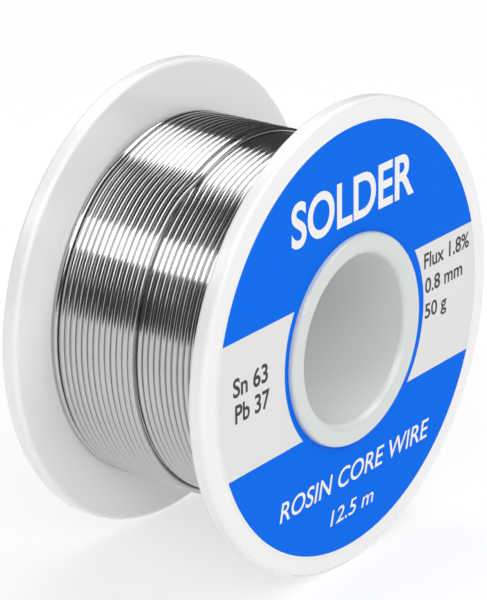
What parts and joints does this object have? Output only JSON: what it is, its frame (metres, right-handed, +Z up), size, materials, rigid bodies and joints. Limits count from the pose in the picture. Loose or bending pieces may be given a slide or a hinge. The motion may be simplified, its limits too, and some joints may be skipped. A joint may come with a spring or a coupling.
{
  "type": "solder wire spool",
  "caption": "White plastic spool with a spindle bore and a round printed label, wound with flux-cored solder wire.",
  "frame": {"origin": "on the spindle bore's axis, halfway between the two flanges", "axes": "+Y along the bore axis towards the plain back flange, so the labelled face looks along -Y; +Z up, with the spool standing on its rims; +X to the right of a reader of the label"},
  "size_m": [0.055, 0.0296, 0.055],
  "materials": {
    "spool_plastic": "glossy white moulded polystyrene, slightly translucent",
    "label_print": "coated paper printed bright blue and pale grey",
    "solder": "bright drawn tin-lead wire"
  },
  "bodies": {
    "root": {"front_moulding": "spool_plastic", "back_moulding": "spool_plastic", "front_label": "label_print", "solder_winding": "solder", "solder_start": "solder", "solder_end": "solder"}
  },
  "joints": []
}
